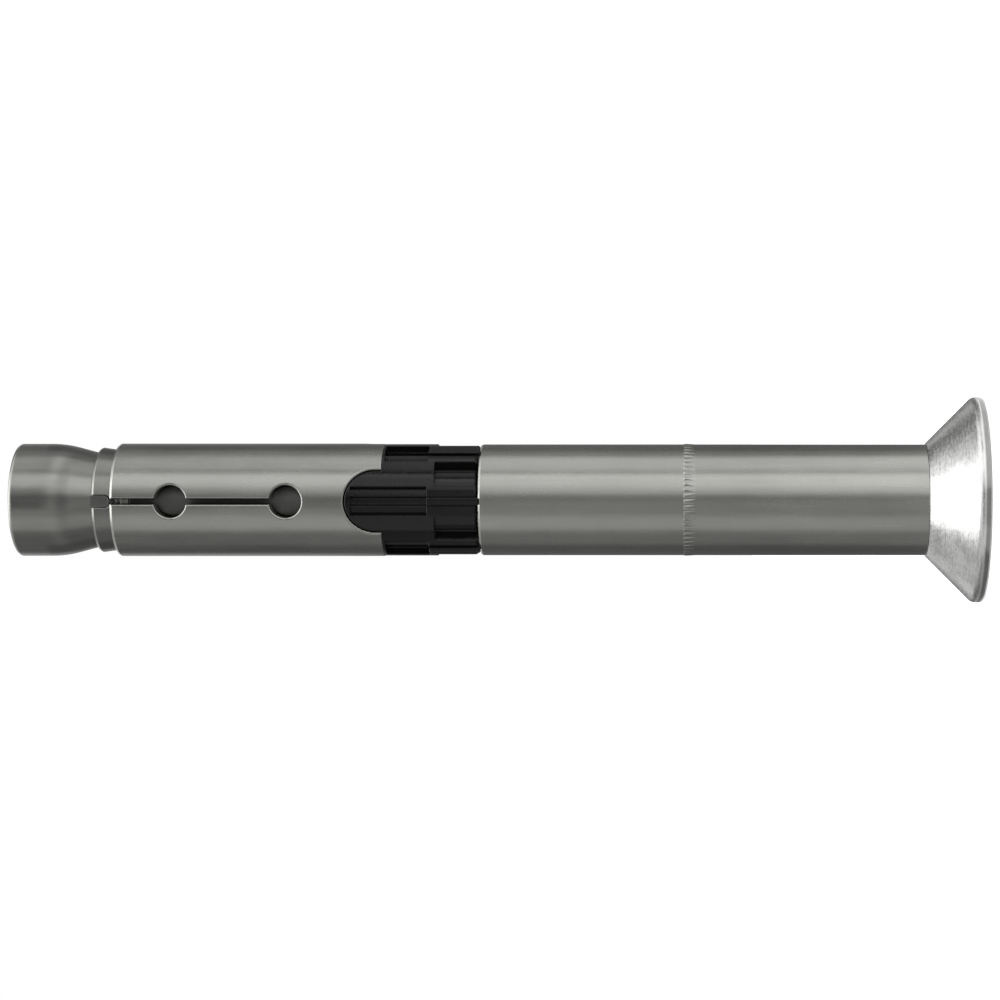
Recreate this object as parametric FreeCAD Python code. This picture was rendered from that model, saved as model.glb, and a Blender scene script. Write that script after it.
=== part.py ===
import FreeCAD, Part
import math
import os

from FreeCAD import Vector

# A heavy-duty sleeve anchor with a countersunk head, in millimetres.
# It stands on its head: the origin is the centre of the head's flat face, and +Z runs
# along the screw to the cone nut's end. One row of slots, notches and keys faces -Y.

# Screw
thread_diameter = 12.0
thread_length = 16.4
shank_diameter = 11.8
screw_head_diameter = 24.0
screw_head_land = 0.5
screw_head_recess = 0.3
screw_tip_recess = 1.9
screw_tip_chamfer = 1.2
socket_across_flats = 8.0
socket_depth = 5.0
socket_point_depth = 1.2
socket_mouth_chamfer = 0.35

# Conical washer
washer_diameter = 32.4
washer_nose_diameter = 18.0
washer_land = 1.6
washer_edge_radius = 1.3
washer_face_chamfer = 0.2
countersink_angle = 90.0
head_seat_clearance = 0.06
head_rim_clearance = 0.25

# Spacer sleeve
spacer_diameter = 17.5
spacer_length = 70.1
spacer_tip_chamfer = 0.3
spacer_head_chamfer = 0.1
ridge_count = 60
ridge_length = 1.8
ridge_crest_from = 1.25
ridge_crest_length = 0.35
ridge_height = 0.08
ridge_width = 0.6
ridge_from_washer = 36.43

# Crush collar
collar_diameter = 17.6
collar_band_length = 8.21
collar_core_diameter = 14.3
collar_end_chamfer = 0.35
fin_count = 6
fin_width = 4.7
fin_length = 6.6
fin_across_flats = 17.24
crush_rib_diameter = 17.96
crush_rib_width = 1.0
crush_rib_chamfer = 0.12
crush_rib_nib = 0.28
crush_rib_nib_height = 0.62
rib_groove_width = 0.22
rib_groove_depth = 0.2
pocket_width = 4.6
pocket_floor_diameter = 15.2
pocket_from_fins = 1.05
pocket_rim = 0.35
pocket_groove_width = 1.6
pocket_groove_depth = 0.35
tongue_clearance = 0.08
tongue_rim = 0.95
tongue_edge_radius = 0.3

# Expansion sleeve
expansion_diameter = 17.77
expansion_body_length = 41.93
slot_count = 3
slot_width = 0.85
relief_hole_diameter = 5.0
relief_hole_from_neck = 9.3
relief_hole_spacing = 17.85
expansion_end_chamfer = 0.15
shoulder_chamfer = 0.36
neck_length = 2.93
neck_front_diameter = 16.5
neck_back_diameter = 15.75
neck_chamfer = 0.34
notch_diameter = 9.5
notch_centre_inset = 1.02
key_notch_width = 2.15
key_notch_corner = 0.95
edge_round = 0.3

# Cone nut
cone_diameter = 17.69
cone_standout = 12.89
cone_length = 15.4
cone_land = 5.15
cone_blend_radius = 16.0
cone_half_angle = 15.0
cone_end_radius = 0.6
key_width = 1.85
key_diameter = 14.85
key_corner = 0.8
cone_mouth_chamfer = 0.8
thread_mouth_chamfer = 0.3

# Chamfers on the sleeves' ends are flatter than 45 degrees to the outside
end_chamfer_angle = 30.0

# Clearances between pieces, measured along a radius
thread_clearance = 0.06
bore_clearance = 0.3
taper_clearance = 0.05

# Levels along the axis, each piece seated on the one before
countersink_slope = math.tan(math.radians(countersink_angle / 2))
cone_slope = math.tan(math.radians(cone_half_angle))
end_chamfer_slope = math.tan(math.radians(end_chamfer_angle))
washer_top = washer_land + (washer_diameter - washer_nose_diameter) / 2 / countersink_slope
spacer_top = washer_top + spacer_length
fins_bottom = spacer_top + crush_rib_nib
fins_top = fins_bottom + fin_length
band_top = fins_top + collar_band_length
shoulder = band_top + expansion_body_length
neck_top = shoulder + neck_length
cone_end = neck_top + cone_standout
cone_small_end = cone_end - cone_length
notch_centre = band_top + notch_centre_inset
bore_radius = thread_diameter / 2 + bore_clearance

UP = Vector(0, 0, 1)
ORIGIN = Vector(0, 0, 0)
# How far cutters reach out past the part, run past what they cut, and roots sink into it
FAR = 2 * washer_diameter
OVERRUN = 1.0
ROOT = 0.5


def lathe(outline):
    """Turns a closed outline about the axis. Each step is a point (radius, z), or a pair
    (via, to) for an arc through via."""
    place = lambda point: Vector(point[0], 0, point[1])
    edges = []
    here = place(outline[0])
    for step in outline[1:] + outline[:1]:
        if isinstance(step[0], tuple):
            via, to = map(place, step)
            edges.append(Part.Arc(here, via, to).toShape())
        else:
            to = place(step)
            edges.append(Part.makeLine(here, to))
        here = to
    return Part.Face(Part.Wire(edges)).revolve(ORIGIN, UP, 360)


def tube(inner, outer, bottom, top):
    """A plain ring between two radii and two levels."""
    return lathe([(inner, bottom), (outer, bottom), (outer, top), (inner, top)])


def facing(width, bottom, top, inner=0.0, outer=FAR):
    """A block on the -Y side, between two distances from the axis and two levels."""
    return Part.makeBox(width, outer - inner, top - bottom, Vector(-width / 2, -outer, bottom))


def drill(diameter, level):
    """A round cutter from the axis out towards -Y."""
    return Part.makeCylinder(diameter / 2, FAR, Vector(0, 0, level), Vector(0, -1, 0))


def prism(outline, along):
    """A closed outline of straight lines, pushed along a vector."""
    return Part.Face(Part.makePolygon(outline + outline[:1])).extrude(along)


def round_ends(block, radius, level):
    """Rounds the block's corners at one level, seen along Y."""
    corners = [
        edge
        for edge in block.Edges
        if all(abs(v.Z - level) < 1e-6 for v in edge.Vertexes)
        and abs(edge.Vertexes[0].X - edge.Vertexes[1].X) < 1e-6
    ]
    return block.makeFillet(radius, corners)


def around(shape, count, first=0.0):
    """Copies of the shape, evenly spaced round the axis."""
    copies = []
    for i in range(count):
        copy = shape.copy()
        copy.rotate(ORIGIN, UP, first + i * 360 / count)
        copies.append(copy)
    return copies


def outer_edges(shape, radius):
    """Edges of cuts that lie on the round outside, apart from whole turned circles."""
    found = []
    for edge in shape.Edges:
        points = edge.discretize(5)
        on_outside = all(abs(math.hypot(p.x, p.y) - radius) < 1e-4 for p in points)
        level = max(p.z for p in points) - min(p.z for p in points) < 1e-4
        if on_outside and not level:
            found.append(edge)
    return found


def cone_radius(level):
    """The cone nut's outside radius: a land, a blend and a straight taper."""
    full = cone_diameter / 2
    depth = cone_end - cone_land - level
    turn = math.radians(cone_half_angle)
    blend_depth = cone_blend_radius * math.sin(turn)
    if depth <= 0:
        return full
    if depth < blend_depth:
        return full - cone_blend_radius + math.sqrt(cone_blend_radius**2 - depth**2)
    blend_drop = cone_blend_radius * (1 - math.cos(turn))
    return full - blend_drop - (depth - blend_depth) * cone_slope


def countersunk_screw():
    radius = thread_diameter / 2
    shank = shank_diameter / 2
    head = screw_head_diameter / 2
    rim = screw_head_recess + screw_head_land
    tip = cone_end - screw_tip_recess
    thread_start = tip - thread_length
    body = lathe(
        [
            (0, screw_head_recess),
            (head, screw_head_recess),
            (head, rim),
            (shank, rim + (head - shank) / countersink_slope),
            (shank, thread_start),
            (radius, thread_start + radius - shank),
            (radius, tip - screw_tip_chamfer),
            (radius - screw_tip_chamfer, tip),
            (0, tip),
        ]
    )
    corner = socket_across_flats / math.sqrt(3)
    hexagon = [
        Vector(corner * math.cos(math.radians(60 * i)), corner * math.sin(math.radians(60 * i)), 0)
        for i in range(6)
    ]
    socket = prism(hexagon, Vector(0, 0, socket_depth))
    flat = socket_across_flats / 2
    point = Part.makeCone(flat, 0, socket_point_depth, Vector(0, 0, socket_depth))
    mouth = Part.makeCone(corner + socket_mouth_chamfer, corner, socket_mouth_chamfer)
    cut = socket.fuse([point, mouth])
    cut.translate(Vector(0, 0, screw_head_recess))
    return body.cut(cut)


def conical_washer():
    outer = washer_diameter / 2
    nose = washer_nose_diameter / 2
    rim = screw_head_recess + screw_head_land
    head = screw_head_diameter / 2
    recess = head + head_rim_clearance
    turn = math.radians(countersink_angle / 2)
    seat_shift = head_seat_clearance / math.cos(turn)
    seat_level = lambda radius: rim + (head + seat_shift - radius) / countersink_slope
    # The arc between the land and the cone, tangent to both
    fillet = washer_edge_radius
    reach = fillet * math.tan(turn / 2)
    centre = (outer - fillet, washer_land - reach)
    fillet_mid = (
        centre[0] + fillet * math.cos(turn / 2),
        centre[1] + fillet * math.sin(turn / 2),
    )
    fillet_end = (outer - reach * math.sin(turn), washer_land + reach * math.cos(turn))
    return lathe(
        [
            (recess, 0),
            (outer - washer_face_chamfer, 0),
            (outer, washer_face_chamfer),
            (outer, washer_land - reach),
            (fillet_mid, fillet_end),
            (nose, washer_top),
            (bore_radius, washer_top),
            (bore_radius, seat_level(bore_radius)),
            (recess, seat_level(recess)),
        ]
    )


def spacer_sleeve():
    outer = spacer_diameter / 2
    body = lathe(
        [
            (bore_radius, washer_top),
            (outer - spacer_head_chamfer, washer_top),
            (outer, washer_top + spacer_head_chamfer),
            (outer, spacer_top - spacer_tip_chamfer),
            (outer - spacer_tip_chamfer * end_chamfer_slope, spacer_top),
            (bore_radius, spacer_top),
        ]
    )
    # One raised ridge with a rounded crest: it climbs from the head's side and drops off
    # more steeply
    start = washer_top + ridge_from_washer
    root = outer - ROOT
    crest = outer + ridge_height
    side = [
        Vector(0, -root, start),
        Vector(0, -outer, start),
        Vector(0, -crest, start + ridge_crest_from),
        Vector(0, -crest, start + ridge_crest_from + ridge_crest_length),
        Vector(0, -outer, start + ridge_length),
        Vector(0, -root, start + ridge_length),
    ]
    foot_width = ridge_width + ridge_height
    ridge = prism(side, Vector(foot_width, 0, 0))
    ridge.translate(Vector(-foot_width / 2, 0, 0))
    crest_radius = (ridge_width**2 / 4 + ridge_height**2) / (2 * ridge_height)
    ridge = ridge.common(
        Part.makeCylinder(crest_radius, ridge_length, Vector(0, crest_radius - crest, start))
    )
    return body.fuse(around(ridge, ridge_count))


def tongue_outline(clearance, level):
    """The half-round end of a tongue or of the notch it fills, cut from level upwards."""
    width = notch_diameter - 2 * clearance
    return drill(width, notch_centre).fuse(facing(width, level, notch_centre))


def crush_collar():
    outer = collar_diameter / 2
    core = collar_core_diameter / 2
    tongue_tip = notch_centre + notch_diameter / 2 - tongue_clearance
    body = lathe(
        [
            (bore_radius, fins_bottom),
            (core - collar_end_chamfer, fins_bottom),
            (core, fins_bottom + collar_end_chamfer),
            (core, fins_top),
            (outer, fins_top),
            (outer, band_top),
            (bore_radius, band_top),
        ]
    )
    tongue = tube(bore_radius, outer, fins_top, tongue_tip + OVERRUN).common(
        tongue_outline(tongue_clearance, fins_top)
    )
    tongue = tongue.makeFillet(
        tongue_edge_radius,
        [e for e in outer_edges(tongue, outer) if e.BoundBox.ZMax > band_top + notch_centre_inset],
    )
    body = body.fuse(around(tongue, slot_count))

    # Fins between the windows, with a bevelled end towards the spacer sleeve
    fin = facing(fin_width, fins_bottom, fins_top + ROOT, bore_radius).common(
        lathe(
            [
                (core - ROOT, fins_bottom),
                (outer - collar_end_chamfer, fins_bottom),
                (outer, fins_bottom + collar_end_chamfer),
                (outer, fins_top),
                (core - ROOT, fins_top),
            ]
        )
    )
    body = body.fuse(around(fin, fin_count))

    # A flat down the middle of each fin, as far as the pocket behind it, with a groove on
    # each side of where the crush rib goes
    pocket_bottom = fins_top + pocket_from_fins
    flat_level = fin_across_flats / 2
    flat = facing(collar_diameter, fins_bottom, pocket_bottom, flat_level)
    grooves = facing(
        crush_rib_width + 2 * rib_groove_width,
        fins_bottom,
        pocket_bottom,
        flat_level - rib_groove_depth,
    )
    body = body.cut(around(flat.fuse(grooves), fin_count))

    # Pockets behind the fins: long ones run out into the tongues. A shallow groove with
    # sides at 45 degrees runs along each floor
    floor = pocket_floor_diameter / 2
    groove_floor = floor - pocket_groove_depth
    half_foot = pocket_groove_width / 2 - pocket_groove_depth
    half_mouth = pocket_groove_width / 2 + OVERRUN
    groove_outline = [
        Vector(-half_foot, -groove_floor, pocket_bottom),
        Vector(half_foot, -groove_floor, pocket_bottom),
        Vector(half_mouth, -floor - OVERRUN, pocket_bottom),
        Vector(-half_mouth, -floor - OVERRUN, pocket_bottom),
    ]
    for i in range(fin_count):
        on_tongue = i % (fin_count // slot_count) == 0
        pocket_top = tongue_tip - tongue_rim if on_tongue else band_top - pocket_rim
        pocket = facing(pocket_width, pocket_bottom, pocket_top).cut(
            Part.makeCylinder(floor, pocket_top, ORIGIN, UP)
        )
        pocket = pocket.fuse(prism(groove_outline, Vector(0, 0, pocket_top - pocket_bottom)))
        pocket.rotate(ORIGIN, UP, i * 360 / fin_count)
        body = body.cut(pocket)

    # Crush ribs along the flats, each with a nib against the spacer sleeve
    crest = crush_rib_diameter / 2
    root = crest - crush_rib_nib_height
    rib = facing(crush_rib_width, spacer_top, pocket_bottom, root).common(
        lathe(
            [
                (root, spacer_top),
                (crest - crush_rib_chamfer, spacer_top),
                (crest, spacer_top + crush_rib_chamfer),
                (crest, pocket_bottom),
                (root, pocket_bottom),
            ]
        )
    )
    return body.fuse(around(rib, fin_count))


def expansion_sleeve():
    outer = expansion_diameter / 2
    neck_front = neck_front_diameter / 2
    neck_back = neck_back_diameter / 2
    mouth = cone_radius(neck_top) + taper_clearance
    taper_end = neck_top - (mouth - bore_radius) / cone_slope
    body = lathe(
        [
            (bore_radius, band_top),
            (outer - expansion_end_chamfer, band_top),
            (outer, band_top + expansion_end_chamfer),
            (outer, shoulder - shoulder_chamfer),
            (outer - shoulder_chamfer * end_chamfer_slope, shoulder),
            (neck_back, shoulder),
            (neck_front, neck_top - neck_chamfer),
            (neck_front - neck_chamfer * end_chamfer_slope, neck_top),
            (mouth, neck_top),
            (bore_radius, taper_end),
        ]
    )
    far_hole = shoulder - relief_hole_from_neck
    near_hole = far_hole - relief_hole_spacing
    key_notch = round_ends(
        facing(key_notch_width, shoulder, neck_top + OVERRUN), key_notch_corner, shoulder
    )
    cuts = [
        facing(slot_width, near_hole, neck_top + OVERRUN),
        drill(relief_hole_diameter, near_hole),
        drill(relief_hole_diameter, far_hole),
        key_notch,
        tongue_outline(0.0, band_top - OVERRUN),
    ]
    for cut in cuts:
        body = body.cut(around(cut, slot_count))
    return body.makeFillet(edge_round, outer_edges(body, outer))


def cone_nut():
    full = cone_diameter / 2
    thread = thread_diameter / 2 + thread_clearance
    land_end = cone_end - cone_land
    turn = math.radians(cone_half_angle)
    blend_end = land_end - cone_blend_radius * math.sin(turn)
    blend_mid = land_end - cone_blend_radius * math.sin(turn / 2)
    # The middle of the rounded outer edge at the end
    inset = cone_end_radius * (1 - math.sqrt(0.5))
    rounded_mid = (full - inset, cone_end - inset)
    body = lathe(
        [
            (thread + cone_mouth_chamfer, cone_end),
            (full - cone_end_radius, cone_end),
            (rounded_mid, (full, cone_end - cone_end_radius)),
            (full, land_end),
            ((cone_radius(blend_mid), blend_mid), (cone_radius(blend_end), blend_end)),
            (cone_radius(cone_small_end), cone_small_end),
            (thread + thread_mouth_chamfer, cone_small_end),
            (thread, cone_small_end + thread_mouth_chamfer),
            (thread, cone_end - cone_mouth_chamfer),
        ]
    )
    key = facing(key_width, cone_small_end, cone_end - cone_land, thread + thread_mouth_chamfer)
    key = round_ends(key, key_corner, cone_small_end).common(
        Part.makeCylinder(key_diameter / 2, cone_end, ORIGIN, UP)
    )
    return body.fuse(around(key, slot_count))


PIECES = {
    "countersunk_screw": countersunk_screw,
    "conical_washer": conical_washer,
    "spacer_sleeve": spacer_sleeve,
    "crush_collar": crush_collar,
    "expansion_sleeve": expansion_sleeve,
    "cone_nut": cone_nut,
}


def main():
    os.makedirs("parts", exist_ok=True)
    for name, build in PIECES.items():
        shape = build().removeSplitter()
        shape.exportStep(f"parts/{name}.step")
        print(name, shape.ShapeType, len(shape.Solids), shape.isValid(), round(shape.Volume, 1))


main()
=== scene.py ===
import bmesh
import bpy
import math
from mathutils import Matrix, Vector


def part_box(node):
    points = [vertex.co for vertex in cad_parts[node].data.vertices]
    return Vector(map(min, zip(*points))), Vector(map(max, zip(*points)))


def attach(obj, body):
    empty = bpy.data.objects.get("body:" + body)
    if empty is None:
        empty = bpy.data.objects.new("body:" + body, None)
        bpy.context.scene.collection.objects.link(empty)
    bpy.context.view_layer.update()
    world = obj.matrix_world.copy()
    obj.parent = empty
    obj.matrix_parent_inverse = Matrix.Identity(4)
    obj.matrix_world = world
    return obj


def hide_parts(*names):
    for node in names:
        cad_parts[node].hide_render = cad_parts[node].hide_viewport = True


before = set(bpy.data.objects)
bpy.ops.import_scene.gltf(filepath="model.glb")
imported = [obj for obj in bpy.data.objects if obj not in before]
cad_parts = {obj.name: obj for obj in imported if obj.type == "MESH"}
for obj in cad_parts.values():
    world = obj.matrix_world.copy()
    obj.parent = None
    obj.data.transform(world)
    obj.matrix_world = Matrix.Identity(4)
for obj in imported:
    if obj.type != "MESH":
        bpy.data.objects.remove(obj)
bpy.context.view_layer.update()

# Lengths are in metres, and written in millimetres times MM
MM = 0.001
UP = Vector((0, 0, 1))
WHITE = (1, 1, 1, 1)


# Camera: it looks square at the axis and is rolled a quarter turn, so that the standing
# anchor lies across the picture with its head on the right
camera_distance = 418.9 * MM
camera_height = 46.33 * MM
camera_azimuth = math.radians(1.8)
camera_lens = 95.4
camera_sensor = 36
camera_shift = (-0.188, -0.0002)


def toward(azimuth):
    """Level unit vector from the axis; azimuth 0 is -Y and turns towards +X."""
    return Vector((math.sin(azimuth), -math.cos(azimuth), 0))


def make_camera():
    data = bpy.data.cameras.new("camera")
    data.lens = camera_lens
    data.sensor_width = camera_sensor
    data.shift_x, data.shift_y = camera_shift
    camera = bpy.data.objects.new("camera", data)
    bpy.context.scene.collection.objects.link(camera)
    back = toward(camera_azimuth)
    right = -UP
    axes = Matrix((right, back.cross(right), back)).transposed()
    place = back * camera_distance + UP * camera_height
    camera.matrix_world = Matrix.Translation(place) @ axes.to_4x4()
    bpy.context.scene.camera = camera


make_camera()


# Shader nodes. Nearly all of a noise lies between its low and its high.
noise_low = 0.3
noise_high = 0.7
bump_height = 0.01 * MM
bevel_samples = 6
# How well the true normal and the rounded one agree where the edges' wear and painted highlight
# start, and where they are full
wear_and_highlight_starts = 0.995
wear_and_highlight_full = 0.9
# A Mix node's sockets for colours
mix_first = 6
mix_second = 7
mix_result = 2


class Nodes:
    """A short way to write the nodes of a material, or of the world."""

    def __init__(self, owner, output="OutputMaterial"):
        self.owner = owner
        self.owner.use_nodes = True
        self.tree = self.owner.node_tree
        self.tree.nodes.clear()
        self.output = self.add(output)

    def add(self, kind, settings=None, **inputs):
        """A node with its settings, and its inputs by name, with _ for a space."""
        node = self.tree.nodes.new("ShaderNode" + kind)
        for key, value in (settings or {}).items():
            setattr(node, key, value)
        for key, value in inputs.items():
            self.set(node.inputs[key.replace("_", " ")], value)
        return node

    def set(self, socket, value):
        if isinstance(value, bpy.types.NodeSocket):
            self.tree.links.new(value, socket)
        else:
            socket.default_value = value

    def finish(self, shader):
        self.set(self.output.inputs["Surface"], shader)
        return self.owner

    def in_order(self, kind, settings, values):
        """A node whose first inputs take the values, one after the other."""
        node = self.add(kind, settings)
        for socket, value in zip(node.inputs, values):
            self.set(socket, value)
        return node

    def math(self, operation, *values):
        return self.in_order("Math", {"operation": operation}, values).outputs[0]

    def vectors(self, operation, *values):
        return self.in_order("VectorMath", {"operation": operation}, values).outputs

    def ranged(self, value, start, end, low=0.0, high=1.0):
        """The value mapped from start and end to low and high, and kept between those."""
        ends = {"From_Min": start, "From_Max": end, "To_Min": low, "To_Max": high}
        return self.add("MapRange", Value=value, **ends).outputs["Result"]

    def spread(self, noise, middle, reach):
        """The noise mapped to the range that reaches so far on both sides of the middle."""
        return self.ranged(noise, noise_low, noise_high, middle - reach, middle + reach)

    def mixed(self, one, other, share):
        """Two factors mixed, with the share that the first one has."""
        return self.math("MULTIPLY_ADD", one, share, self.math("MULTIPLY", other, 1 - share))

    def blended(self, fac, plain, other):
        """The colour plain, turning to the other where fac is 1."""
        mix = self.add("Mix", {"data_type": "RGBA"}, Factor=fac)
        self.set(mix.inputs[mix_first], plain)
        self.set(mix.inputs[mix_second], other)
        return mix.outputs[mix_result]

    def tinted(self, colour, noise, share):
        """The colour, darker and lighter by that share as the noise goes."""
        ramp = self.add("ValToRGB", Fac=noise)
        low, high = ramp.color_ramp.elements
        low.position = noise_low
        low.color = tuple(c * (1 - share) for c in colour) + (1,)
        high.position = noise_high
        high.color = tuple(min(c * (1 + share), 1) for c in colour) + (1,)
        return ramp.outputs["Color"]

    def at(self):
        return self.add("TexCoord").outputs["Object"]

    def level(self, vector):
        return self.add("SeparateXYZ", Vector=vector).outputs["Z"]

    def along_z(self, vector, scale):
        """Coordinates scaled along Z, where less than 1 draws a noise out."""
        return self.add("Mapping", Vector=vector, Scale=(1, 1, scale)).outputs["Vector"]

    def noise(self, vector, scale, detail, roughness):
        node = self.add("TexNoise", Vector=vector, Scale=scale, Detail=detail, Roughness=roughness)
        return node.outputs["Fac"]

    def softened_edges(self, radius):
        """The normal rounded over near edges, and a factor that is 1 on edges, where they are worn
        and carry a painted highlight.
        """
        rounded = self.add("Bevel", {"samples": bevel_samples}, Radius=radius).outputs["Normal"]
        flat = self.add("NewGeometry").outputs["Normal"]
        alike = self.vectors("DOT_PRODUCT", rounded, flat)["Value"]
        return rounded, self.ranged(alike, wear_and_highlight_starts, wear_and_highlight_full)

    def bumpy(self, normal, height, strength):
        """The normal with bumps, where a height of 1 is the bump height."""
        bump = self.add("Bump", Normal=normal, Height=height, Strength=strength)
        self.set(bump.inputs["Distance"], bump_height)
        return bump.outputs["Normal"]

    def seen_straight(self):
        """1 for what the camera sees, also in a reflection or through glass, and else 0."""
        rays = self.add("LightPath").outputs
        straight = self.math("MAXIMUM", rays["Is Camera Ray"], rays["Is Glossy Ray"])
        return self.math("MAXIMUM", straight, rays["Is Transmission Ray"])


# Materials. A noise has its repeats to a metre, its detail and the strength of that detail,
# and where it is stretched or packed along Z, its scale there.
streaks_noise = (1500, 3, 0.6)
streaks_along = 0.05
blotches_noise = (300, 4, 0.6)
blotches_along = 0.45
streaks_colour_share = 0.4
streaks_rough_share = 0.5
waves_noise = (420, 4, 0.55)
waves_along = 0.5
grain_noise = (9000, 2, 0.5)
grain_height = 0.04
drawn_edge_radius = 0.12 * MM
# How far edges take the pale edge colour, as wear and as a painted highlight
drawn_edge_wear_and_highlight = 0.85
drawn_tint = 0.07
drawn_rough_reach = 0.03
end_tint = 0.08
# Painted shade in slots, holes and gaps: how far the occlusion looks, its samples, and the
# openness where the shade is full and where it starts
painted_shade_reach = 4 * MM
painted_shade_samples = 8
painted_shade_full = 0.12
painted_shade_starts = 0.45


def drawn_steel(name, colour, roughness, waviness, edge_wear_and_highlight_colour, painted_shade=None, end=None):
    """Drawn or ground steel: long faint streaks along Z, slight waves that break the reflections,
    edges worn pale with a painted highlight, and painted shade in its given colour where little
    light gets in. Its end is its own level, colour and roughness: from that level up it is turned
    or rolled."""
    n = Nodes(bpy.data.materials.new(name))
    at = n.at()
    streaks = n.noise(n.along_z(at, streaks_along), *streaks_noise)
    blotches = n.noise(n.along_z(at, blotches_along), *blotches_noise)
    waves = n.noise(n.along_z(at, waves_along), *waves_noise)
    grain = n.noise(at, *grain_noise)
    rounded, worn_and_highlit = n.softened_edges(drawn_edge_radius)
    pattern = n.mixed(streaks, blotches, streaks_colour_share)
    plain = n.tinted(colour, pattern, drawn_tint)
    rough_pattern = n.mixed(streaks, blotches, streaks_rough_share)
    rough = n.spread(rough_pattern, roughness, drawn_rough_reach)
    # Painted shade: the colour turns to the given dark colour where ambient occlusion finds little
    # open space
    if painted_shade:
        samples = {"samples": painted_shade_samples}
        openness = n.add("AmbientOcclusion", samples, Distance=painted_shade_reach).outputs["AO"]
        plain = n.blended(n.ranged(openness, painted_shade_full, painted_shade_starts), painted_shade, plain)
    if end:
        end_level, end_colour, end_roughness = end
        on_end = n.math("GREATER_THAN", n.level(at), end_level)
        plain = n.blended(on_end, plain, n.tinted(end_colour, grain, end_tint))
        rough = n.math("MULTIPLY_ADD", on_end, end_roughness - roughness, rough)
    # Edges turn to the pale edge colour, as wear and as a painted highlight
    shader = n.add(
        "BsdfPrincipled",
        Base_Color=n.blended(n.math("MULTIPLY", worn_and_highlit, drawn_edge_wear_and_highlight), plain, edge_wear_and_highlight_colour),
        Metallic=1.0,
        Roughness=rough,
        Normal=n.bumpy(rounded, n.math("MULTIPLY_ADD", grain, grain_height, waves), waviness),
    )
    return n.finish(shader.outputs["BSDF"])


# The washer's mean radius, and how long rings and marks are round it and how wide along Z
turned_radius = 12 * MM
rings_size = (7 * MM, 0.16 * MM)
marks_size = (0.8 * MM, 0.28 * MM)
marks_height = 2.5
turned_noise = (1.0, 2, 0.5)
patches_noise = (330, 2, 0.5)
marks_share = 0.6
turned_share = 0.6
rings_rough_share = 0.4
turned_edge_radius = 0.06 * MM
# Edges take the near-white corner colour by this share, as wear and as a painted highlight
turned_edge_wear_and_highlight = 0.6
turned_tint = 0.2
turned_contrast = 0.4
turned_rough_reach = 0.06
# Painted highlight on the rounded corner above the rim: its share and its near-white colour
corner_highlight = 0.9
corner_highlight_colour = (0.95, 0.95, 0.94, 1)
rim_tint = 0.08
rim_below = 0.15 * MM
rim_above = 0.1 * MM
rim_share_of_roughness = 0.6


def turned_space(n, along, across):
    """Coordinates whose unit is along metres round the axis, at the turned radius, and
    across metres in Z."""
    at = n.at()
    sideways = n.vectors("MULTIPLY", at, (1, 1, 0))["Vector"]
    outward = n.vectors("NORMALIZE", sideways)["Vector"]
    scale = {"operation": "SCALE"}
    widened = n.add("VectorMath", scale, Vector=outward, Scale=turned_radius / along)
    up = n.add("CombineXYZ", Z=n.math("DIVIDE", n.level(at), across))
    return n.vectors("ADD", widened.outputs["Vector"], up.outputs["Vector"])["Vector"]


def turned_steel(name, colour, roughness, depth, rim_colour, rim_level, corner):
    """Turned steel: fine rings round the axis, broken into short marks, and patches, and edges
    worn pale with a painted highlight. Up to rim_level it is the bar's own darker and smoother
    outside, and over the next length, corner, a painted highlight colours the rounded corner
    nearly white."""
    n = Nodes(bpy.data.materials.new(name))
    at = n.at()
    rings = n.noise(turned_space(n, *rings_size), *turned_noise)
    marks = n.noise(turned_space(n, *marks_size), *turned_noise)
    patches = n.noise(at, *patches_noise)
    height = n.math("MULTIPLY_ADD", marks, marks_height, rings)
    rounded, worn_and_highlit = n.softened_edges(turned_edge_radius)
    pattern = n.mixed(n.mixed(marks, rings, marks_share), patches, turned_share)
    turned = n.tinted(colour, n.spread(pattern, 0.5, turned_contrast), turned_tint)
    rim = n.tinted(rim_colour, patches, rim_tint)
    past_rim = n.ranged(n.level(at), rim_level - rim_below, rim_level + rim_above)
    # Painted highlight: the band just above the rim is coloured nearly white, where the rounded
    # corner shows a bright reflection
    past_corner = n.ranged(n.level(at), rim_level + corner / 2, rim_level + corner)
    on_corner = n.math("SUBTRACT", past_rim, past_corner)
    bright = n.math(
        "MAXIMUM",
        n.math("MULTIPLY", worn_and_highlit, turned_edge_wear_and_highlight),
        n.math("MULTIPLY", on_corner, corner_highlight),
    )
    rough = n.spread(n.mixed(rings, marks, rings_rough_share), roughness, turned_rough_reach)
    rim_share = rim_share_of_roughness
    smoother = n.math("MULTIPLY_ADD", past_rim, 1 - rim_share, rim_share)
    shader = n.add(
        "BsdfPrincipled",
        Base_Color=n.blended(bright, n.blended(past_rim, rim, turned), corner_highlight_colour),
        Metallic=1.0,
        Roughness=n.math("MULTIPLY", rough, smoother),
        Normal=n.bumpy(rounded, height, depth),
    )
    return n.finish(shader.outputs["BSDF"])


peel_noise = (2200, 2, 0.5)
peel_along = 2
peel_strength = 1.0
scuffs_noise = (420, 4, 0.6)
plastic_tint = 0.15
plastic_gloss = 0.42
plastic_edge_radius = 0.22 * MM


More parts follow.
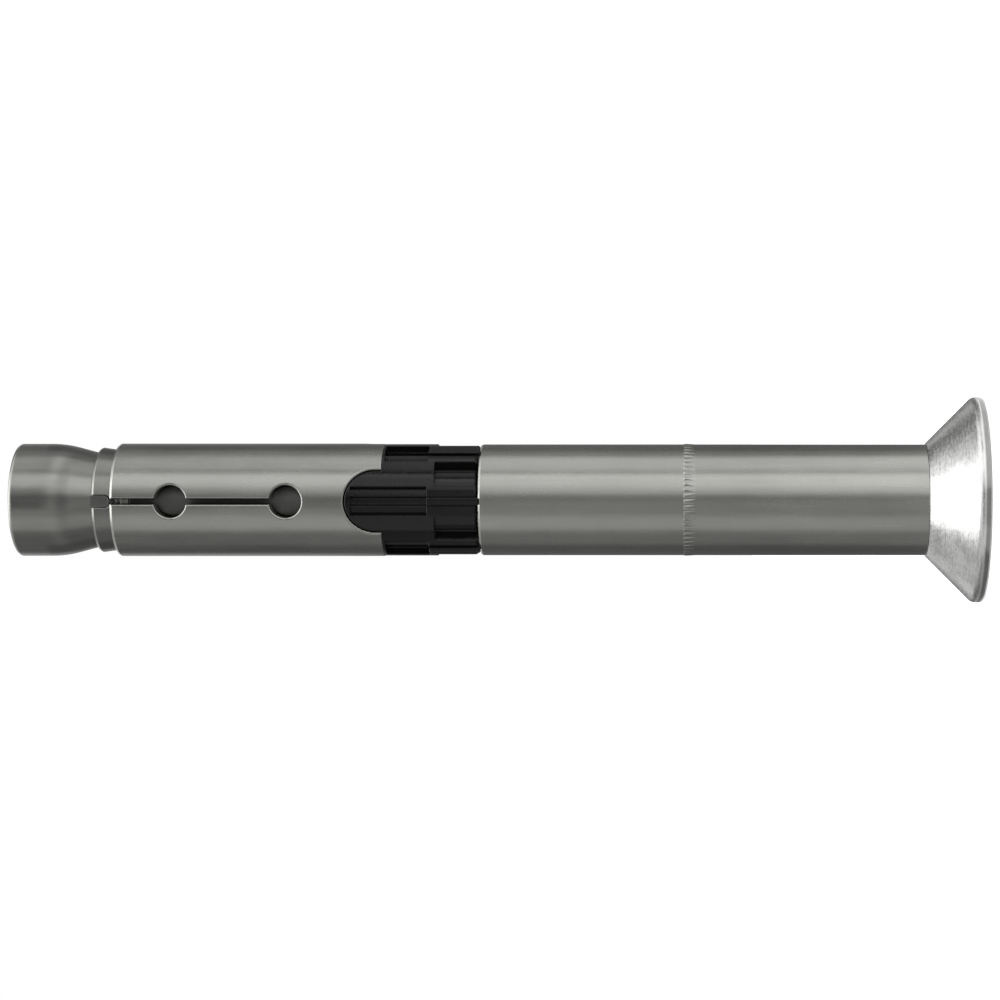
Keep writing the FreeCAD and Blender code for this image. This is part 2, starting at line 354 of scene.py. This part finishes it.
def moulded_plastic(name, colour, roughness, edge_wear_and_highlight_colour):
    """Moulded plastic with a faint orange-peel skin and slightly paler edges, worn and with a
    painted highlight. Its roughness has a least and a most."""
    n = Nodes(bpy.data.materials.new(name))
    at = n.at()
    peel = n.noise(n.along_z(at, peel_along), *peel_noise)
    scuffs = n.noise(at, *scuffs_noise)
    rounded, worn_and_highlit = n.softened_edges(plastic_edge_radius)
    # Edges turn to the paler edge colour, as wear and as a painted highlight
    shader = n.add(
        "BsdfPrincipled",
        Base_Color=n.blended(worn_and_highlit, n.tinted(colour, scuffs, plastic_tint), edge_wear_and_highlight_colour),
        Roughness=n.ranged(scuffs, noise_low, noise_high, *roughness),
        Specular_IOR_Level=plastic_gloss,
        Normal=n.bumpy(rounded, peel, peel_strength),
    )
    return n.finish(shader.outputs["BSDF"])


# The neck's turned finish and the screw's rolled thread are so far below their pieces' tops
neck_length = 2.95 * MM
thread_finish_length = 16.2 * MM
neck_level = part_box("expansion_sleeve")[1].z - neck_length
thread_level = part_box("countersunk_screw")[1].z - thread_finish_length
# Pale steel for edges, as wear and as a painted highlight
worn_and_highlit_steel_colour = (0.85, 0.85, 0.83, 1)
sleeve_steel = drawn_steel(
    "sleeve_steel",
    colour=(0.455, 0.455, 0.43),
    roughness=0.26,
    waviness=0.3,
    edge_wear_and_highlight_colour=worn_and_highlit_steel_colour,
    end=(neck_level, (0.31, 0.31, 0.293), 0.26),
)
cone_steel = drawn_steel(
    "cone_steel",
    colour=(0.37, 0.37, 0.35),
    roughness=0.25,
    waviness=0.25,
    edge_wear_and_highlight_colour=worn_and_highlit_steel_colour,
)
# The screw is dark steel, kept darker still as a painted shade for the shank deep inside the
# sleeve, with more painted shade in its recesses; from the thread's level up it is paler rolled
# steel
screw_steel = drawn_steel(
    "screw_steel",
    colour=(0.2, 0.2, 0.195),
    roughness=0.42,
    waviness=0.2,
    edge_wear_and_highlight_colour=(0.5, 0.5, 0.49, 1),
    painted_shade=(0.025, 0.025, 0.023, 1),
    end=(thread_level, (0.62, 0.62, 0.6), 0.22),
)
bright_steel = turned_steel(
    "turned_steel",
    colour=(0.64, 0.64, 0.63),
    roughness=0.28,
    depth=0.8,
    rim_colour=(0.38, 0.38, 0.37),
    rim_level=0.95 * MM,
    corner=0.8 * MM,
)
black_plastic = moulded_plastic(
    "black_plastic",
    colour=(0.004, 0.004, 0.0037),
    roughness=(0.06, 0.15),
    edge_wear_and_highlight_colour=(0.008, 0.008, 0.0075, 1),
)


def finish_node(node, material):
    """Gives a node of the frame its finished material."""
    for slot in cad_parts[node].material_slots:
        slot.material = material


finish_node("conical_washer", bright_steel)
finish_node("spacer_sleeve", sleeve_steel)
finish_node("crush_collar", black_plastic)
finish_node("expansion_sleeve", sleeve_steel)
finish_node("cone_nut", cone_steel)


def linked(name, data):
    thing = bpy.data.objects.new(name, data)
    bpy.context.scene.collection.objects.link(thing)
    return thing


# Screw and its thread. Levels come from the nodes that the screw stands in.
head_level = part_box("countersunk_screw")[0].z
screw_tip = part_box("countersunk_screw")[1].z
cone_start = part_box("cone_nut")[0].z
cone_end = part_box("cone_nut")[1].z
head_radius = 12 * MM
head_edge = 0.15 * MM
head_rim = 0.5 * MM
shank_radius = 5.9 * MM
under_head_fillet = 0.6 * MM
socket_flat_radius = 4 * MM
socket_mouth_radius = 4.97 * MM
socket_depth = 5 * MM
socket_point = 1.2 * MM
socket_floor_radius = 3.88 * MM
pitch = 1.75 * MM
thread_radius = 6 * MM
root_radius = 4.93 * MM
crest_flat = pitch / 8
thread_length = 16.4 * MM
thread_start = screw_tip - thread_length
runout_slope = 0.8
tip_chamfer = 1.2 * MM
nut_crest_radius = 5.05 * MM
nut_clearance = 0.05 * MM
nut_outer_radius = 6.25 * MM
nut_mouth = 0.75 * MM
nut_from_start = 0.25 * MM
nut_from_end = 0.8 * MM
# Shares of the fillet out from the shank, on the head's cone and at the fillet's middle, and
# of the head's rounded edge at its middle
fillet_on_head = 0.7
fillet_middle = 0.2
edge_middle = 0.3
columns = 144
rows_per_pitch = 16
weld_distance = 0.0002 * MM
sharp_angle = math.radians(28)


def thread_profile(turn, level):
    """The M12 thread's radius: flanks at 60 degrees between a crest and a root flat."""
    away = (level - thread_start - pitch * turn / (2 * math.pi)) / pitch
    away = abs(away - round(away)) * pitch
    radius = thread_radius - (away - crest_flat / 2) * math.sqrt(3)
    return min(max(radius, root_radius), thread_radius)


def screw_thread(turn, level):
    """The screw's radius, with the run-out into the shank and the chamfered tip."""
    runout = shank_radius - (level - thread_start) * runout_slope
    tip = thread_radius - (level - screw_tip + tip_chamfer)
    return min(max(thread_profile(turn, level), runout), max(tip, 0))


def nut_thread(turn, level):
    """The nut's inside radius, which widens at both of its mouths."""
    radius = max(thread_profile(turn, level) + nut_clearance, nut_crest_radius)
    end_mouth = thread_radius + nut_mouth - (cone_end - level)
    start_mouth = thread_radius - (level - cone_start)
    return max(radius, end_mouth, start_mouth)


def turn_of(column):
    return 2 * math.pi * column / columns


def on_circle(column, radius, level):
    turn = turn_of(column)
    return (radius * math.cos(turn), radius * math.sin(turn), level)


def ring(radius, level):
    """A row of points round the axis, whose last point is its first one again."""
    return [on_circle(column, radius, level) for column in range(columns + 1)]


def helical_rows(start, end, radius_at):
    """Rows of points that follow the helix from start to end, where they lie flat."""
    step = pitch / rows_per_pitch
    count = math.ceil((end - start) / step)
    rows = []
    for row in range(-rows_per_pitch, count + 1):
        points = []
        for column in range(columns + 1):
            rise = start + (row + rows_per_pitch * column / columns) * step
            level = min(max(rise, start), end)
            points.append(on_circle(column, radius_at(turn_of(column), level), level))
        rows.append(points)
    return rows


def skin(name, bands, material):
    """A mesh from bands of rows of points, joined where they meet. A row of one point is
    the middle of a disc."""
    shape = bmesh.new()
    for rows in bands:
        made = [[shape.verts.new(point) for point in row] for row in rows]
        for one, other in zip(made, made[1:]):
            for i in range(max(len(one), len(other)) - 1):
                corners = [
                    one[i % len(one)],
                    one[(i + 1) % len(one)],
                    other[(i + 1) % len(other)],
                    other[i % len(other)],
                ]
                shape.faces.new(list(dict.fromkeys(corners)))
    bmesh.ops.remove_doubles(shape, verts=shape.verts, dist=weld_distance)
    bmesh.ops.dissolve_degenerate(shape, edges=shape.edges, dist=weld_distance)
    bmesh.ops.recalc_face_normals(shape, faces=shape.faces)
    mesh = bpy.data.meshes.new(name)
    shape.to_mesh(mesh)
    shape.free()
    mesh.shade_smooth()
    mesh.set_sharp_from_angle(angle=sharp_angle)
    mesh.materials.append(material)
    return linked(name, mesh)


def hexagon_radius(column):
    """The hex socket's wall from the axis, in that column's direction."""
    side = math.radians(60)
    return socket_flat_radius / math.cos(turn_of(column) % side - side / 2)


def make_screw():
    """The screw with its hex socket, from the socket's point round to the tip's middle."""
    floor = head_level + socket_depth
    wall = [hexagon_radius(i) for i in range(columns + 1)]
    mouth = [on_circle(i, r, head_level + socket_mouth_radius - r) for i, r in enumerate(wall)]
    foot = [on_circle(i, r, floor) for i, r in enumerate(wall)]
    under_head = head_level + head_rim + head_radius - shank_radius
    fillet_from = under_head_fillet * fillet_on_head
    smooth = [
        [(0, 0, floor + socket_point)],
        ring(socket_floor_radius, floor),
        foot,
        mouth,
        ring(socket_mouth_radius, head_level),
        ring(head_radius - head_edge, head_level),
        ring(head_radius - head_edge * edge_middle, head_level + head_edge * edge_middle),
        ring(head_radius, head_level + head_edge),
        ring(head_radius, head_level + head_rim),
        ring(shank_radius + fillet_from, under_head - fillet_from),
        ring(shank_radius + under_head_fillet * fillet_middle, under_head),
        ring(shank_radius, under_head + under_head_fillet),
        ring(shank_radius, thread_start),
    ]
    threaded = helical_rows(thread_start, screw_tip, screw_thread)
    tip = [ring(thread_radius - tip_chamfer, screw_tip), [(0, 0, screw_tip)]]
    screw = skin("threaded_screw", [smooth, threaded, tip], screw_steel)
    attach(screw, "screw")
    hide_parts("countersunk_screw")


def make_nut_thread():
    """The nut's internal thread, its outside sunk in the cone nut around its bore."""
    rows = helical_rows(cone_start + nut_from_start, cone_end - nut_from_end, nut_thread)
    bottom = ring(nut_outer_radius, cone_start + nut_from_start)
    top = ring(nut_outer_radius, cone_end - nut_from_end)
    bands = [[top, bottom], [bottom, rows[0]], rows, [rows[-1], top]]
    nut = skin("nut_thread", bands, cone_steel)
    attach(nut, "cone")


make_screw()
make_nut_thread()


# Studio: a white floor and background, one lamp overhead, and a round tent of grey panels
# that only shows as reflections. It is open at the top and has a floor of such panels too.
lamp_height = 0.8
lamp_diameter = 0.66
lamp_brightness = 1.7
world_brightness = 0.75
floor_radius = 1.5
floor_sides = 96
floor_colour = (0.8, 0.8, 0.8, 1)
floor_lift = 0.6
tent_radius = 3.0
tent_levels = (0, 0.45, 0.95, 1.5, 3.3, 6.6)
tent_floor_level = 0.05 * MM
tent_floor_rings = (17 * MM, 60 * MM, 0.6, tent_radius)
# A panel has a facet for about so many degrees, and at least so many facets
facet_degrees = 5
least_facets = 2
# Each panel's first azimuth from the camera in degrees, turning towards +X, its brightness
# on the floor's three rings, from the inner one out, and its brightness between those levels
tent_panels = [
    (-180, (0.30, 0.12, 0.10), (0.14, 0.45, 0.85, 0.90, 0.80)),
    (-145, (0.30, 0.12, 0.10), (0.14, 0.11, 0.32, 0.55, 0.50)),
    (-106, (0.25, 0.26, 0.16), (0.27, 0.18, 0.20, 0.55, 0.60)),
    (-66, (0.28, 0.48, 0.36), (0.57, 0.50, 0.46, 0.70, 0.90)),
    (-34, (0.60, 0.30, 0.24), (0.38, 0.36, 0.28, 0.60, 1.10)),
    (-18, (0.45, 0.36, 0.12), (0.46, 0.14, 0.05, 0.60, 1.60)),
    (-1, (0.50, 0.20, 0.08), (0.25, 0.09, 0.04, 0.60, 1.60)),
    (8, (0.85, 0.44, 0.18), (0.50, 0.20, 0.08, 0.80, 1.60)),
    (14, (0.95, 0.92, 0.50), (0.90, 0.42, 0.24, 0.90, 1.60)),
    (27, (1.10, 1.22, 0.70), (1.10, 0.84, 0.90, 1.40, 1.60)),
    (46, (0.90, 1.32, 0.70), (1.50, 0.97, 1.00, 1.40, 1.60)),
    (54, (0.95, 0.54, 0.30), (0.28, 0.25, 0.38, 1.50, 1.60)),
    (60, (1.00, 0.54, 0.30), (0.85, 0.25, 0.38, 1.50, 1.60)),
    (66, (1.00, 1.00, 0.50), (1.00, 0.51, 0.70, 1.50, 1.40)),
    (100, (0.70, 0.31, 0.20), (0.34, 0.28, 0.34, 1.00, 0.85)),
    (120, (0.40, 0.17, 0.12), (0.18, 0.13, 0.42, 0.17, 0.40)),
    (150, (0.40, 0.17, 0.12), (0.18, 0.30, 0.70, 0.30, 0.50)),
]


def make_lamp():
    """A disc that faces down, whose face has the lamp's brightness, where 1 is white."""
    data = bpy.data.lights.new("overhead", "AREA")
    data.shape = "DISK"
    data.size = lamp_diameter
    face = math.pi * (lamp_diameter / 2) ** 2
    data.energy = lamp_brightness * math.pi * face
    lamp = linked("overhead", data)
    lamp.location = UP * lamp_height
    lamp.visible_camera = False


def make_world():
    """White where it is seen, and less bright as a light on rough surfaces."""
    world = bpy.data.worlds.new("studio")
    bpy.context.scene.world = world
    n = Nodes(world, "OutputWorld")
    strength = n.ranged(n.seen_straight(), 0, 1, world_brightness, 1)
    n.finish(n.add("Background", Color=WHITE, Strength=strength).outputs["Background"])


def sheet(name, vertices, faces, material):
    mesh = bpy.data.meshes.new(name)
    mesh.from_pydata(vertices, [], faces)
    mesh.update()
    mesh.materials.append(material)
    return linked(name, mesh)


def make_floor():
    """A matt floor, lifted to white where it is seen, so that only shadows show on it."""
    n = Nodes(bpy.data.materials.new("floor"))
    matt = n.add("BsdfDiffuse", Color=floor_colour).outputs["BSDF"]
    lift = n.add("Emission", Strength=n.math("MULTIPLY", n.seen_straight(), floor_lift))
    both = n.in_order("AddShader", {}, (matt, lift.outputs["Emission"])).outputs["Shader"]
    turns = [2 * math.pi * side / floor_sides for side in range(floor_sides)]
    rim = [toward(turn) * floor_radius for turn in turns]
    floor = sheet("floor", rim, [tuple(range(floor_sides))], n.finish(both))


def make_panel(name, turns, low, high, brightness):
    """A glowing panel that shows only in reflections, between the radius and level low and
    the radius and level high, over the turns."""
    count = len(turns)
    rows = [toward(turn) * radius + UP * level for radius, level in (low, high) for turn in turns]
    faces = [(i, i + 1, count + i + 1, count + i) for i in range(count - 1)]
    n = Nodes(bpy.data.materials.new(name))
    glow = n.finish(n.add("Emission", Strength=brightness).outputs["Emission"])
    panel = sheet(name, rows, faces, glow)
    for way in ("camera", "diffuse", "shadow", "transmission", "volume_scatter"):
        setattr(panel, "visible_" + way, False)


def make_tent():
    rings = [(radius, tent_floor_level) for radius in tent_floor_rings]
    tiers = [(tent_radius, level) for level in tent_levels]
    starts = [panel[0] for panel in tent_panels]
    starts.append(starts[0] + 360)
    for (start, on_floor, on_wall), end in zip(tent_panels, starts[1:]):
        facets = max(least_facets, round((end - start) / facet_degrees))
        degrees = [start + (end - start) * i / facets for i in range(facets + 1)]
        turns = [camera_azimuth + math.radians(degree) for degree in degrees]
        name = f"tent_{start}".replace("-", "m")
        for i, brightness in enumerate(on_floor):
            make_panel(f"{name}_floor_{i}", turns, rings[i], rings[i + 1], brightness)
        for i, brightness in enumerate(on_wall):
            make_panel(f"{name}_{i}", turns, tiers[i], tiers[i + 1], brightness)


make_tent()
make_floor()
make_world()
make_lamp()

bpy.context.scene.view_settings.view_transform = "Standard"
